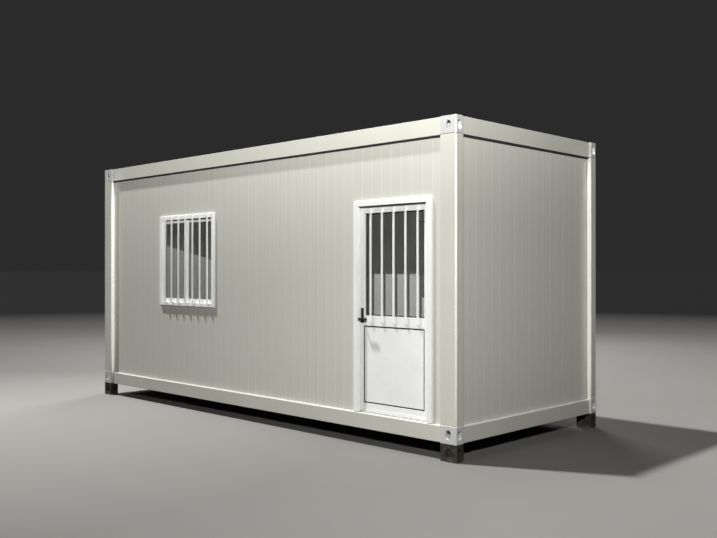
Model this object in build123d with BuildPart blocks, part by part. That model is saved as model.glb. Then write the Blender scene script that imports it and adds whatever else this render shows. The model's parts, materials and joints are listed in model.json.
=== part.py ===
"""Container house on base blocks: welded corner frame, sandwich-panel walls, a glazed door and barred windows.

The origin is on the ground under the middle of the house. +X runs along the house towards the door end,
-Y is the front with the door, and +Z is up. Depths are measured inwards from the corner fittings' outer faces.
"""
import os

from build123d import *

# Overall sizes
house_length = 6058.0
house_width = 2438.0
frame_height = 2896.0
base_height = 158.0

# Corner fittings, base blocks and posts
fitting_length = 178.0
fitting_width = 102.0
fitting_height = 162.0
fitting_wall = 20.0
fitting_edge_chamfer = 8.0
joint_chamfer = 6.0
aperture_width = 55.0
aperture_height = 82.0
lift_slot_length = 124.0
lift_slot_width = 50.0
post_steel = 8.0

# Folded steel rails
rail_steel = 4.0
rail_recess = 20.0
bottom_rail_height = 151.0
ledge_rise = 7.0
top_rail_height = 158.0
top_flange_depth = 70.0
gutter_drop = 34.0
gutter_width = 52.0
ceiling_lip = 40.0

# Wall panels
wall_recess = 52.0
panel_thickness = 50.0
panel_width = 1140.0
ribs_per_panel = 9
panel_joint = 0.6
groove_width = 8.0
groove_depth = 1.0
top_seal_height = 15.0
top_seal_depth = 24.0

# Floor, ceiling and roof
deck_thickness = 18.0
joist_count = 7
joist_width = 60.0
joist_steel = 3.0
ceiling_thickness = 40.0
roof_steel = 2.0
roof_rib_pitch = 230.0
roof_rib_base = 76.0
roof_rib_top = 40.0
roof_rib_height = 22.0
roof_fit = 3.0

# Windows
window_height = 1111.0
window_top = 2362.0
window_frame_face = 42.0
window_head_face = 50.0
frame_proud = 24.0
window_reveal = 31.0
sash_stile = 50.0
sash_top_rail = 30.0
sash_head_gap = 12.0
meeting_stile = 60.0
meeting_shift = 37.0
sash_thickness = 20.0
sash_gap = 2.0
sash_fit = 0.5
window_glass_thickness = 6.0
edge_chamfer = 3.0

# Bars over the glass
bar_size = 16.0
bar_pitch = 149.0
bar_shift = 12.0
door_bar_top_gap = 15.0
door_bar_foot = 66.0

# Door
door_end_distance = 314.0
door_side_strip = 26.4
door_frame_width = 978.0
door_frame_face = 55.0
door_frame_inner_proud = 16.0
door_frame_top = 2364.0
door_recess = 42.0
door_side_gap = 7.0
door_head_gap = 9.0
door_foot_gap = 14.0
door_thickness = 48.0
stop_width = 10.0
stop_depth = 24.0
stop_gap = 6.0
threshold_height = 8.0
threshold_depth = 56.0
threshold_chamfer = 2.0
glazed_stile = 44.0
door_top_rail = 58.0
door_mid_rail = 99.0
door_mid_rail_top = 1249.0
panel_stile = 42.0
door_bottom_rail = 77.0
gasket_width = 12.0
glazing_gasket = 6.0
gasket_recess = 2.0
door_panel_recess = 3.0
door_glass_thickness = 12.0
door_glass_recess = 30.0

# Lever handle
handle_plate_width = 32.0
handle_plate_height = 144.0
handle_plate_thickness = 8.0
handle_plate_top = 1320.0
handle_drop = 104.0
handle_set_back = 26.0
lever_hub_radius = 9.0
lever_reach = 60.0
lever_length = 112.0
lever_height = 18.0
lever_thickness = 14.0
spindle_radius = 4.0
spindle_fit = 1.0
hub_fit = 0.3
plate_corner_chamfer = 3.0

# Door hinges
hinge_count = 3
hinge_height = 100.0
hinge_end_distance = 200.0
hinge_plate_width = 28.0
hinge_plate_thickness = 3.0
knuckle_radius = 8.0
knuckle_gap = 1.0
pin_radius = 4.0
pin_fit = 0.3

# Overrun that carries a cut past the face it starts from
overrun = 5.0

# Levels and depths that several pieces share
frame_bottom = base_height
frame_top = base_height + frame_height
floor_level = frame_bottom + bottom_rail_height
wall_top = frame_top - top_rail_height
wall_inner_depth = wall_recess + panel_thickness
side_run = house_length - 2 * fitting_length
end_run = house_width - 2 * fitting_width
door_bay_width = door_side_strip + door_frame_width + door_end_distance - fitting_length
plain_bays = round((side_run - door_bay_width) / panel_width)
plain_bay_width = (side_run - door_bay_width) / plain_bays
end_bays = round(end_run / panel_width)
end_bay_width = end_run / end_bays
room_length = house_length - 2 * wall_inner_depth
room_width = house_width - 2 * wall_inner_depth
frame_face_depth = wall_recess - frame_proud
front_y = -house_width / 2
door_x = house_length / 2 - door_end_distance - door_frame_width / 2
corner_x = house_length / 2 - fitting_length / 2
corner_y = front_y + fitting_width / 2


def keep(piece, name):
    """Label a finished piece and write it out."""
    piece.part.label = name
    export_step(piece.part, f"parts/{name}.step")


def front_plane(depth, height=0.0):
    """Level plane on the front wall: X along the wall, Y inwards, at a depth behind the front face."""
    return Plane(origin=(0, front_y + depth, height), x_dir=(1, 0, 0), z_dir=(0, 0, 1))


def right_plane(depth, height=0.0):
    """Level plane on the right end: X along the wall, Y inwards, at a depth behind the end face."""
    return Plane(origin=(house_length / 2 - depth, 0, height), x_dir=(0, 1, 0), z_dir=(0, 0, 1))


def front_face(depth):
    """Upright plane facing the front at a depth: X along the house, Y up, normal outwards."""
    return Plane.XZ.offset(-front_y - depth)


os.makedirs("parts", exist_ok=True)


# Corner fittings and base blocks
def corner_block(bottom, height, post_level, open_all_round):
    """Hollow fitting at the right front corner: its outer edge chamfered, apertures in two or all four sides."""
    cut_width = fitting_width + overrun if open_all_round else fitting_width / 2
    cut_length = fitting_length + overrun if open_all_round else fitting_length / 2
    with BuildPart() as block:
        with BuildSketch(Plane.XY.offset(bottom)):
            with Locations((corner_x, corner_y)):
                Rectangle(fitting_length, fitting_width)
        extrude(amount=height)
        chamfer(block.edges().filter_by(Axis.Z).sort_by(Axis.X)[-2:].sort_by(Axis.Y)[0], fitting_edge_chamfer)
        if post_level is not None:
            chamfer(block.edges().filter_by_position(Axis.Z, post_level, post_level), joint_chamfer)
        with BuildSketch(Plane.XY.offset(bottom + fitting_wall)):
            with Locations((corner_x, corner_y)):
                Rectangle(fitting_length - 2 * fitting_wall, fitting_width - 2 * fitting_wall)
        extrude(amount=height - 2 * fitting_wall, mode=Mode.SUBTRACT)
        with BuildSketch(front_face(-overrun)):
            with Locations((corner_x, bottom + height / 2)):
                SlotOverall(aperture_height, aperture_width, rotation=90)
        extrude(amount=-overrun - cut_width, mode=Mode.SUBTRACT)
        with BuildSketch(Plane.YZ.offset(house_length / 2 + overrun)):
            with Locations((corner_y, bottom + height / 2)):
                SlotOverall(aperture_height, aperture_width, rotation=90)
        extrude(amount=-overrun - cut_length, mode=Mode.SUBTRACT)
    return block.part


def at_four_corners(corner_piece):
    """The right front corner's piece, repeated at the other three corners."""
    with BuildPart() as corner_set:
        add(corner_piece)
        mirror(about=Plane.YZ)
        mirror(about=Plane.XZ)
    return corner_set


bottom_fitting_top = frame_bottom + fitting_height
top_fitting_bottom = frame_top - fitting_height
base_block = corner_block(0.0, base_height, None, True)
keep(at_four_corners(base_block), "base_blocks")

bottom_casting = corner_block(frame_bottom, fitting_height, bottom_fitting_top, False)
keep(at_four_corners(bottom_casting), "bottom_corner_castings")

with BuildPart() as top_casting:
    add(corner_block(top_fitting_bottom, fitting_height, top_fitting_bottom, False))
    with BuildSketch(Plane.XY.offset(frame_top + overrun)):
        with Locations((corner_x, corner_y)):
            SlotOverall(lift_slot_length, lift_slot_width)
    extrude(amount=-overrun - fitting_wall - overrun, mode=Mode.SUBTRACT)
keep(at_four_corners(top_casting.part), "top_corner_castings")

# Corner posts: closed folded tubes flush with the fittings
with BuildPart() as corner_post:
    with BuildSketch(Plane.XY.offset(bottom_fitting_top)) as post_section:
        with Locations((corner_x, corner_y)):
            Rectangle(fitting_length, fitting_width)
        chamfer(post_section.vertices().sort_by(Axis.X)[-2:].sort_by(Axis.Y)[0], fitting_edge_chamfer)
        with Locations((corner_x, corner_y)):
            Rectangle(fitting_length - 2 * post_steel, fitting_width - 2 * post_steel, mode=Mode.SUBTRACT)
    extrude(amount=top_fitting_bottom - bottom_fitting_top)
keep(at_four_corners(corner_post.part), "corner_posts")


# Rails: one steel strip folded along an outline of depth and height
def folded_rail(plane, run, outline):
    """Steel strip whose outer side follows the outline, extruded along its run."""
    with BuildPart() as rail:
        with BuildSketch(plane):
            with BuildLine():
                Polyline(*outline)
                offset(amount=rail_steel, side=Side.RIGHT)
            make_face()
        extrude(amount=run)
    return rail.part


gutter_depth = rail_recess + top_flange_depth
gutter_level = frame_top - gutter_drop
bottom_rail_outline = (
    (wall_inner_depth, frame_bottom),
    (rail_recess, frame_bottom),
    (rail_recess, floor_level - ledge_rise),
    (wall_recess, floor_level),
    (wall_inner_depth, floor_level),
)
top_rail_outline = (
    (wall_inner_depth + ceiling_lip, wall_top),
    (rail_recess, wall_top),
    (rail_recess, frame_top),
    (gutter_depth, frame_top),
    (gutter_depth, gutter_level),
    (gutter_depth + gutter_width, gutter_level),
)
side_rail_plane = Plane(origin=(-side_run / 2, front_y, 0), x_dir=(0, 1, 0), z_dir=(1, 0, 0))
end_rail_plane = Plane(origin=(house_length / 2, -end_run / 2, 0), x_dir=(-1, 0, 0), z_dir=(0, 1, 0))
for level_name, rail_outline in (("bottom", bottom_rail_outline), ("top", top_rail_outline)):
    with BuildPart() as front_rail:
        add(folded_rail(side_rail_plane, side_run, rail_outline))
    keep(front_rail, f"front_{level_name}_rail")
    with BuildPart() as back_rail:
        mirror(front_rail.part, about=Plane.XZ)
    keep(back_rail, f"back_{level_name}_rail")
    with BuildPart() as right_rail:
        add(folded_rail(end_rail_plane, end_run, rail_outline))
    keep(right_rail, f"right_{level_name}_rail")
    with BuildPart() as left_rail:
        mirror(right_rail.part, about=Plane.YZ)
    keep(left_rail, f"left_{level_name}_rail")

# Floor: tube joists that stand in the bottom rails, and the deck on them
joist_bottom = frame_bottom + rail_steel
joist_height = floor_level - deck_thickness - joist_bottom
joist_half_length = house_width / 2 - wall_recess
joist_pitch = side_run / (joist_count + 1)
with BuildPart() as floor_joists:
    with BuildSketch(Plane.XZ):
        with Locations((0, joist_bottom + joist_height / 2)):
            with GridLocations(joist_pitch, 0, joist_count, 1):
                Rectangle(joist_width, joist_height)
                Rectangle(joist_width - 2 * joist_steel, joist_height - 2 * joist_steel, mode=Mode.SUBTRACT)
    extrude(amount=joist_half_length, both=True)
keep(floor_joists, "floor_joists")

with BuildPart() as floor_deck:
    with BuildSketch(Plane.XY.offset(floor_level - deck_thickness)):
        Rectangle(room_length, room_width)
    extrude(amount=deck_thickness)
keep(floor_deck, "floor_deck")

# Ceiling panel on the top rails' inner lips
with BuildPart() as ceiling_panel:
    with BuildSketch(Plane.XY.offset(wall_top + rail_steel)):
        Rectangle(room_length, room_width)
    extrude(amount=ceiling_thickness)
keep(ceiling_panel, "ceiling_panel")

# Roof: one ribbed sheet laid in the gutters, its ribs running across the house
roof_length = house_length - 2 * (gutter_depth + roof_fit)
roof_width = house_width - 2 * (max(gutter_depth, fitting_width) + roof_fit)
rib_count = int((roof_length - roof_rib_base) // roof_rib_pitch)
roof_line = [(-roof_length / 2, gutter_level + roof_steel)]
for rib in range(rib_count):
    rib_x = (rib - (rib_count - 1) / 2) * roof_rib_pitch
    roof_line.append((rib_x - roof_rib_base / 2, gutter_level + roof_steel))
    roof_line.append((rib_x - roof_rib_top / 2, gutter_level + roof_steel + roof_rib_height))
    roof_line.append((rib_x + roof_rib_top / 2, gutter_level + roof_steel + roof_rib_height))
    roof_line.append((rib_x + roof_rib_base / 2, gutter_level + roof_steel))
roof_line.append((roof_length / 2, gutter_level + roof_steel))
roof_underside = [(x, z - roof_steel) for x, z in reversed(roof_line)]
with BuildPart() as roof_sheet:
    with BuildSketch(Plane.XZ):
        with BuildLine():
            Polyline(*roof_line, *roof_underside, close=True)
        make_face()
    extrude(amount=roof_width / 2, both=True)
keep(roof_sheet, "roof_sheet")


# Wall panels: plan sections with upright rib grooves, extruded to their height
def panel(plane, start, end, height, bay_start, bay_width):
    """One panel along its wall's plane from start to end, with grooves on its bay's rib lines."""
    rib_pitch = bay_width / ribs_per_panel
    rib_lines = [bay_start + rib * rib_pitch for rib in range(ribs_per_panel + 1)]
    groove_lines = [(line, 0) for line in rib_lines if start - groove_width < line < end + groove_width]
    with BuildPart() as slab:
        with BuildSketch(plane):
            with Locations(((start + end) / 2, panel_thickness / 2)):
                Rectangle(end - start, panel_thickness)
            if groove_lines:
                with Locations(*groove_lines):
                    Polygon((-groove_width / 2, 0), (0, groove_depth), (groove_width / 2, 0),
                            align=None, mode=Mode.SUBTRACT)
        extrude(amount=height)
    return slab.part


def whole_panel(plane, bay_start, bay_width, height):
    """A panel as wide as its bay, less the joint."""
    return panel(plane, bay_start + panel_joint / 2, bay_start + bay_width - panel_joint / 2,
                 height, bay_start, bay_width)


window_bay = 1
bay_starts = [-side_run / 2 + bay * plain_bay_width for bay in range(plain_bays)]
window_start = bay_starts[window_bay]
plain_starts = [start for start in bay_starts if start != window_start]
door_start = side_run / 2 - door_bay_width
wall_height = wall_top - floor_level
window_bottom = window_top - window_height
wall_plane = front_plane(wall_recess, floor_level)
with BuildPart() as front_wall_panels:
    for plain_start in plain_starts:
        add(whole_panel(wall_plane, plain_start, plain_bay_width, wall_height))
keep(front_wall_panels, "front_wall_panels")

with BuildPart() as back_wall_panels:
    add(front_wall_panels.part, rotation=(0, 0, 180))
    add(whole_panel(wall_plane, door_start, door_bay_width, wall_height), rotation=(0, 0, 180))
keep(back_wall_panels, "back_wall_panels")

with BuildPart() as front_window_panels:
    add(whole_panel(wall_plane, window_start, plain_bay_width, window_bottom - floor_level))
    add(whole_panel(front_plane(wall_recess, window_top), window_start, plain_bay_width, wall_top - window_top))
keep(front_window_panels, "front_window_panels")

with BuildPart() as back_window_panels:
    add(front_window_panels.part, rotation=(0, 0, 180))
keep(back_window_panels, "back_window_panels")

door_left = door_x - door_frame_width / 2
door_right = door_x + door_frame_width / 2
with BuildPart() as front_door_side_panels:
    add(panel(wall_plane, door_start + panel_joint / 2, door_left, wall_height, door_start, door_bay_width))
    add(panel(wall_plane, door_right, side_run / 2 - panel_joint / 2, wall_height, door_start, door_bay_width))
keep(front_door_side_panels, "front_door_side_panels")

with BuildPart() as front_door_head_panel:
    add(panel(front_plane(wall_recess, door_frame_top), door_left, door_right,
              wall_top - door_frame_top, door_start, door_bay_width))
keep(front_door_head_panel, "front_door_head_panel")

with BuildPart() as right_wall_panels:
    for bay in range(end_bays):
        end_start = -end_run / 2 + bay * end_bay_width
        add(whole_panel(right_plane(wall_recess, floor_level), end_start, end_bay_width, wall_height))
keep(right_wall_panels, "right_wall_panels")

with BuildPart() as left_wall_panels:
    mirror(right_wall_panels.part, about=Plane.YZ)
keep(left_wall_panels, "left_wall_panels")

# Seal strips under the top rails, on the walls' outer faces
with BuildPart() as wall_top_seals:
    with BuildSketch(Plane.XY.offset(wall_top - top_seal_height)):
        with Locations((0, front_y + wall_recess - top_seal_depth / 2)):
            Rectangle(side_run, top_seal_depth)
        with Locations((house_length / 2 - wall_recess + top_seal_depth / 2, 0)):
            Rectangle(top_seal_depth, end_run)
    extrude(amount=top_seal_height)
    mirror(about=Plane.XZ)
    mirror(about=Plane.YZ)
keep(wall_top_seals, "wall_top_seals")


# Windows: frame, two sliding sashes with their panes, and bars on the frame's face
window_x = window_start + plain_bay_width / 2
window_width = plain_bay_width - panel_joint
window_middle = (window_x, (window_bottom + window_top) / 2)
window_clear_width = window_width - 2 * window_frame_face
window_clear_bottom = window_bottom + window_frame_face
window_clear_top = window_top - window_head_face
with BuildPart() as front_window_frame:
    with BuildSketch(front_face(frame_face_depth)):
        with Locations(window_middle):
            Rectangle(window_width, window_height)
        with Locations((window_x, window_clear_bottom)):
            Rectangle(window_clear_width, window_clear_top - window_clear_bottom,
                      align=(Align.CENTER, Align.MIN), mode=Mode.SUBTRACT)
    extrude(amount=frame_face_depth - wall_inner_depth)
    outer_face = front_window_frame.faces().sort_by(Axis.Y)[0]
    chamfer(outer_face.outer_wire().edges(), edge_chamfer)
keep(front_window_frame, "front_window_frame")

outer_sash_depth = frame_face_depth + window_reveal
inner_sash_depth = outer_sash_depth + sash_thickness + sash_gap
sash_top = window_clear_top - sash_head_gap
pane_bottom = window_clear_bottom + sash_stile
pane_top = sash_top - sash_top_rail
meeting_x = window_x - meeting_shift
outer_sash = (window_x - window_clear_width / 2 + sash_fit, meeting_x + meeting_stile / 2,
              sash_stile, meeting_stile, outer_sash_depth)
inner_sash = (meeting_x - meeting_stile / 2, window_x + window_clear_width / 2 - sash_fit,
              meeting_stile, sash_stile, inner_sash_depth)
with BuildPart() as front_window_sashes:
    for left, right, left_stile, right_stile, depth in (outer_sash, inner_sash):
        with BuildSketch(front_face(depth)):
            with Locations((left, window_clear_bottom)):
                Rectangle(right - left, sash_top - window_clear_bottom, align=Align.MIN)
            with Locations((left + left_stile, pane_bottom)):
                Rectangle(right - right_stile - left - left_stile, pane_top - pane_bottom,
                          align=Align.MIN, mode=Mode.SUBTRACT)
        extrude(amount=-sash_thickness)
keep(front_window_sashes, "front_window_sashes")

with BuildPart() as front_window_glass:
    for left, right, left_stile, right_stile, depth in (outer_sash, inner_sash):
        with BuildSketch(front_face(depth + (sash_thickness - window_glass_thickness) / 2)):
            with Locations((left + left_stile, pane_bottom)):
                Rectangle(right - right_stile - left - left_stile, pane_top - pane_bottom, align=Align.MIN)
        extrude(amount=-window_glass_thickness)
keep(front_window_glass, "front_window_glass")

window_bar_count = int(window_clear_width // bar_pitch)
with BuildPart() as front_window_grille:
    with BuildSketch(front_face(frame_face_depth)):
        with Locations((window_x + bar_shift, (window_bottom + window_top) / 2)):
            with GridLocations(bar_pitch, 0, window_bar_count, 1):
                Rectangle(bar_size, window_height - 2 * edge_chamfer)
    extrude(amount=bar_size)
keep(front_window_grille, "front_window_grille")

window_pieces = (
    (front_window_frame, "back_window_frame"),
    (front_window_sashes, "back_window_sashes"),
    (front_window_glass, "back_window_glass"),
    (front_window_grille, "back_window_grille"),
)
for front_piece, back_name in window_pieces:
    with BuildPart() as back_piece:
        add(front_piece.part, rotation=(0, 0, 180))
    keep(back_piece, back_name)

# Seal strips over the sashes, in the gap that lets them lift out of the frame
with BuildPart() as window_head_seals:
    with BuildSketch(front_face(outer_sash_depth + gasket_recess)):
        with Locations((window_x, sash_top)):
            Rectangle(window_clear_width, sash_head_gap, align=(Align.CENTER, Align.MIN))
    extrude(amount=2 * gasket_recess - 2 * sash_thickness - sash_gap)
    add(window_head_seals.part, rotation=(0, 0, 180))
keep(window_head_seals, "window_head_seals")

# Door frame: jambs with stops, the head on them, its seal, and the threshold
door_clear_width = door_frame_width - 2 * door_frame_face
door_frame_back = wall_inner_depth + door_frame_inner_proud
leaf_face_depth = frame_face_depth + door_recess
leaf_back_depth = leaf_face_depth + door_thickness
stop_back_depth = leaf_face_depth - stop_gap
head_underside = door_frame_top - door_frame_face
door_plane = Plane(origin=(door_x, front_y, floor_level), x_dir=(1, 0, 0), z_dir=(0, 0, 1))
with BuildPart() as door_jambs:
    with BuildSketch(door_plane):
        with Locations((-door_frame_width / 2, frame_face_depth)):
            Rectangle(door_frame_face, door_frame_back - frame_face_depth, align=(Align.MIN, Align.MIN))
        with Locations((-door_clear_width / 2, stop_back_depth)):
            Rectangle(stop_width, stop_depth, align=(Align.MIN, Align.MAX))
    extrude(amount=head_underside - floor_level)
    jamb_corner = door_jambs.edges().filter_by(Axis.Z).group_by(Axis.X)[0].sort_by(Axis.Y)[0]
    chamfer(jamb_corner, edge_chamfer)
    mirror(about=Plane.YZ.offset(door_x))
keep(door_jambs, "door_jambs")

with BuildPart() as door_head:
    with BuildSketch(front_face(frame_face_depth)):
        with Locations((door_x, head_underside)):
            Rectangle(door_frame_width, door_frame_face, align=(Align.CENTER, Align.MIN))
    extrude(amount=frame_face_depth - door_frame_back)
    head_edges = door_head.faces().sort_by(Axis.Y)[0].edges()
    chamfer(head_edges.sort_by(Axis.Z)[1:], edge_chamfer)
keep(door_head, "door_head")

with BuildPart() as door_head_seal:
    with BuildSketch(Plane.XY.offset(head_underside)):
        with Locations((door_x, front_y + stop_back_depth)):
            Rectangle(door_clear_width - 2 * stop_width, stop_depth, align=(Align.CENTER, Align.MAX))
    extrude(amount=-door_head_gap)
keep(door_head_seal, "door_head_seal")

with BuildPart() as door_threshold:
    with BuildSketch(Plane.XY.offset(floor_level)):
        with Locations((door_x, front_y + wall_recess)):
            Rectangle(door_clear_width - 2 * stop_width, threshold_depth, align=(Align.CENTER, Align.MIN))
    extrude(amount=threshold_height)
    chamfer(door_threshold.faces().sort_by(Axis.Z)[-1].edges().filter_by(Axis.X), threshold_chamfer)
keep(door_threshold, "door_threshold")

# Door leaf: framed opening for the glass above, panel opening below
leaf_width = door_clear_width - 2 * door_side_gap
leaf_bottom = floor_level + door_foot_gap
leaf_top = head_underside - door_head_gap
glass_open_width = leaf_width - 2 * glazed_stile
glass_open_height = leaf_top - door_top_rail - door_mid_rail_top
glass_middle = (door_x, door_mid_rail_top + glass_open_height / 2)
panel_open_width = leaf_width - 2 * panel_stile
panel_open_bottom = leaf_bottom + door_bottom_rail
panel_open_height = door_mid_rail_top - door_mid_rail - panel_open_bottom
panel_middle = (door_x, panel_open_bottom + panel_open_height / 2)
spindle_place = (door_x - leaf_width / 2 + handle_set_back, handle_plate_top - handle_drop)
with BuildPart() as door_leaf_frame:
    with BuildSketch(front_face(leaf_face_depth)):
        with Locations((door_x, (leaf_bottom + leaf_top) / 2)):
            Rectangle(leaf_width, leaf_top - leaf_bottom)
        with Locations(glass_middle):
            Rectangle(glass_open_width, glass_open_height, mode=Mode.SUBTRACT)
        with Locations(panel_middle):
            Rectangle(panel_open_width, panel_open_height, mode=Mode.SUBTRACT)
        with Locations(spindle_place):
            Circle(spindle_radius + spindle_fit, mode=Mode.SUBTRACT)
    extrude(amount=-door_thickness)
keep(door_leaf_frame, "door_leaf_frame")

with BuildPart() as door_gaskets:
    with BuildSketch(front_face(leaf_face_depth + gasket_recess)):
        with Locations(panel_middle):
            Rectangle(panel_open_width, panel_open_height)
            Rectangle(panel_open_width - 2 * gasket_width, panel_open_height - 2 * gasket_width,
                      mode=Mode.SUBTRACT)
    extrude(amount=2 * gasket_recess - door_thickness)
    with BuildSketch(front_face(leaf_face_depth + door_glass_recess - gasket_recess)):
        with Locations(glass_middle):
            Rectangle(glass_open_width, glass_open_height)
            Rectangle(glass_open_width - 2 * glazing_gasket, glass_open_height - 2 * glazing_gasket,
                      mode=Mode.SUBTRACT)
    extrude(amount=-door_glass_thickness - 2 * gasket_recess)
keep(door_gaskets, "door_gaskets")

with BuildPart() as door_lower_panel:
    with BuildSketch(front_face(leaf_face_depth + door_panel_recess)):
        with Locations(panel_middle):
            Rectangle(panel_open_width - 2 * gasket_width, panel_open_height - 2 * gasket_width)
    extrude(amount=2 * door_panel_recess - door_thickness)
keep(door_lower_panel, "door_lower_panel")

with BuildPart() as door_glass:
    with BuildSketch(front_face(leaf_face_depth + door_glass_recess)):
        with Locations(glass_middle):
            Rectangle(glass_open_width - 2 * glazing_gasket, glass_open_height - 2 * glazing_gasket)
    extrude(amount=-door_glass_thickness)
keep(door_glass, "door_glass")

door_bar_top = leaf_top - door_bar_top_gap
door_bar_bottom = door_mid_rail_top - door_bar_foot
door_bar_count = int(glass_open_width // bar_pitch)
with BuildPart() as door_grille:
    with BuildSketch(front_face(leaf_face_depth)):
        with Locations((door_x + bar_shift, (door_bar_top + door_bar_bottom) / 2)):
            with GridLocations(bar_pitch, 0, door_bar_count, 1):
                Rectangle(bar_size, door_bar_top - door_bar_bottom)
    extrude(amount=bar_size)
keep(door_grille, "door_grille")

# Handle: a plate on each face of the stile, and one lever through both
plate_middle = (spindle_place[0], handle_plate_top - handle_plate_height / 2)
with BuildPart() as door_handle_plates:
    for plate_depth in (leaf_face_depth - handle_plate_thickness, leaf_back_depth):
        with BuildSketch(front_face(plate_depth)) as plate_section:
            with Locations(plate_middle):
                Rectangle(handle_plate_width, handle_plate_height)
            chamfer(plate_section.vertices(), plate_corner_chamfer)
            with Locations(spindle_place):
                Circle(lever_hub_radius + hub_fit, mode=Mode.SUBTRACT)
        extrude(amount=-handle_plate_thickness)
keep(door_handle_plates, "door_handle_plates")

with BuildPart() as door_lever:
    with BuildSketch(front_face(leaf_face_depth - lever_reach + lever_thickness)):
        with Locations(spindle_place):
            Circle(spindle_radius)
    extrude(amount=2 * lever_thickness - 2 * lever_reach - door_thickness)
    lever_faces = (
        (leaf_face_depth - lever_reach, lever_reach - hub_fit),
        (leaf_back_depth + lever_reach, hub_fit - lever_reach),
    )
    for grip_depth, hub_length in lever_faces:
        inwards = -1 if hub_length > 0 else 1
        with BuildSketch(front_face(grip_depth)):
            with Locations(spindle_place):
                Circle(lever_hub_radius)
        extrude(amount=-hub_length)
        with BuildSketch(front_face(grip_depth)):
            with Locations((spindle_place[0] - lever_hub_radius, spindle_place[1])):
                SlotOverall(lever_length, lever_height, align=(Align.MIN, Align.CENTER))
        extrude(amount=inwards * lever_thickness)
keep(door_lever, "door_lever")

# Hinges on the inner faces of the leaf and the right jamb
hinge_x = door_x + leaf_width / 2 + door_side_gap / 2
hinge_depth = leaf_back_depth + knuckle_gap + knuckle_radius
hinge_y = front_y + hinge_depth
hinge_first = leaf_bottom + hinge_end_distance
hinge_last = leaf_top - hinge_end_distance
hinge_pitch = (hinge_last - hinge_first) / (hinge_count - 1)
knuckle_height = hinge_height / 3
knuckle_clearance = knuckle_radius + knuckle_gap
hinge_plate_reach = hinge_plate_width + door_side_gap / 2
hinge_middles = [hinge_first + index * hinge_pitch for index in range(hinge_count)]
with BuildPart() as door_hinge_leaf_halves:
    for hinge_middle in hinge_middles:
        with BuildSketch(Plane.XY.offset(hinge_middle - hinge_height / 2)):
            with Locations((hinge_x - knuckle_clearance, front_y + leaf_back_depth)):
                Rectangle(hinge_plate_reach - knuckle_clearance, hinge_plate_thickness,
                          align=(Align.MAX, Align.MIN))
        extrude(amount=hinge_height)
        with BuildSketch(Plane.XY.offset(hinge_middle - knuckle_height / 2 + pin_fit)):
            with Locations((hinge_x, front_y + leaf_back_depth)):
                Rectangle(hinge_plate_reach, hinge_plate_thickness, align=(Align.MAX, Align.MIN))
            with Locations((hinge_x, hinge_y)):
                Circle(knuckle_radius)
                Circle(pin_radius + pin_fit, mode=Mode.SUBTRACT)
        extrude(amount=knuckle_height - 2 * pin_fit)
keep(door_hinge_leaf_halves, "door_hinge_leaf_halves")

with BuildPart() as door_hinge_frame_halves:
    for hinge_middle in hinge_middles:
        with BuildSketch(Plane.XY.offset(hinge_middle - hinge_height / 2)):
            with Locations((hinge_x + knuckle_clearance, front_y + door_frame_back)):
                Rectangle(hinge_plate_reach - knuckle_clearance, hinge_plate_thickness,
                          align=(Align.MIN, Align.MIN))
        extrude(amount=hinge_height)
        for knuckle_bottom in (hinge_middle - hinge_height / 2, hinge_middle + knuckle_height / 2):
            with BuildSketch(Plane.XY.offset(knuckle_bottom)):
                with Locations((hinge_x, front_y + door_frame_back)):
                    Rectangle(hinge_plate_reach, hinge_plate_thickness, align=(Align.MIN, Align.MIN))
                with Locations((hinge_x, hinge_y)):
                    Circle(knuckle_radius)
            extrude(amount=knuckle_height)
        with BuildSketch(Plane.XY.offset(hinge_middle - hinge_height / 2)):
            with Locations((hinge_x, hinge_y)):
                Circle(pin_radius)
        extrude(amount=hinge_height)
keep(door_hinge_frame_halves, "door_hinge_frame_halves")
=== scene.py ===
"""Looks of the container house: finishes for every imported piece, small fittings, lights and camera.

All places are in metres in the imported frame: +X runs to the door end, -Y is the front and +Z is up.
"""
import json
import math

import bmesh
import bpy
from mathutils import Matrix, Vector


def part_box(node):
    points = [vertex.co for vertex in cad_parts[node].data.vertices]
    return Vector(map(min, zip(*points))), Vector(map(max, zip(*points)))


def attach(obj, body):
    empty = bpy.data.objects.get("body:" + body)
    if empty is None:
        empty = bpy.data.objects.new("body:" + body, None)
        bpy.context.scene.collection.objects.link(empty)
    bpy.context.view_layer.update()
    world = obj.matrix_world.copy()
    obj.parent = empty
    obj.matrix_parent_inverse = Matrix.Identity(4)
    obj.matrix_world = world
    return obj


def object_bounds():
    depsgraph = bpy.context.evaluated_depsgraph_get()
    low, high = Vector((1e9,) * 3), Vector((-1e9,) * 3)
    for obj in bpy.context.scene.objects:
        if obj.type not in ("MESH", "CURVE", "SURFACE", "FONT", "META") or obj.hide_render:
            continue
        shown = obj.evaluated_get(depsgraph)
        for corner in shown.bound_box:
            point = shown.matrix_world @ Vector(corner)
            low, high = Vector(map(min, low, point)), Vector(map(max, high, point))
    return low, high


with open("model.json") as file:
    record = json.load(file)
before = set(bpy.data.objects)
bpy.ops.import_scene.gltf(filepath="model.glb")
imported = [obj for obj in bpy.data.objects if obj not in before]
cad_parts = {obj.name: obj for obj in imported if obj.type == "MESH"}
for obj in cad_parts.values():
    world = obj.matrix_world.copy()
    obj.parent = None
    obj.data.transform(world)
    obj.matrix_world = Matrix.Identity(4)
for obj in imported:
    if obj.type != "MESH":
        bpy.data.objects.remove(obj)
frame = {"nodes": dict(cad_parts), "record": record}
cad_low, cad_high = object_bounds()
nodes = frame["nodes"]

# Camera, fitted to the photograph's frame
image_width = 717
focal_pixels = 852.3
sensor_width = 36.0
camera_place = (7.622, -7.129, 1.690)
camera_turn = (90.075, 0.0, 44.389)

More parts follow.
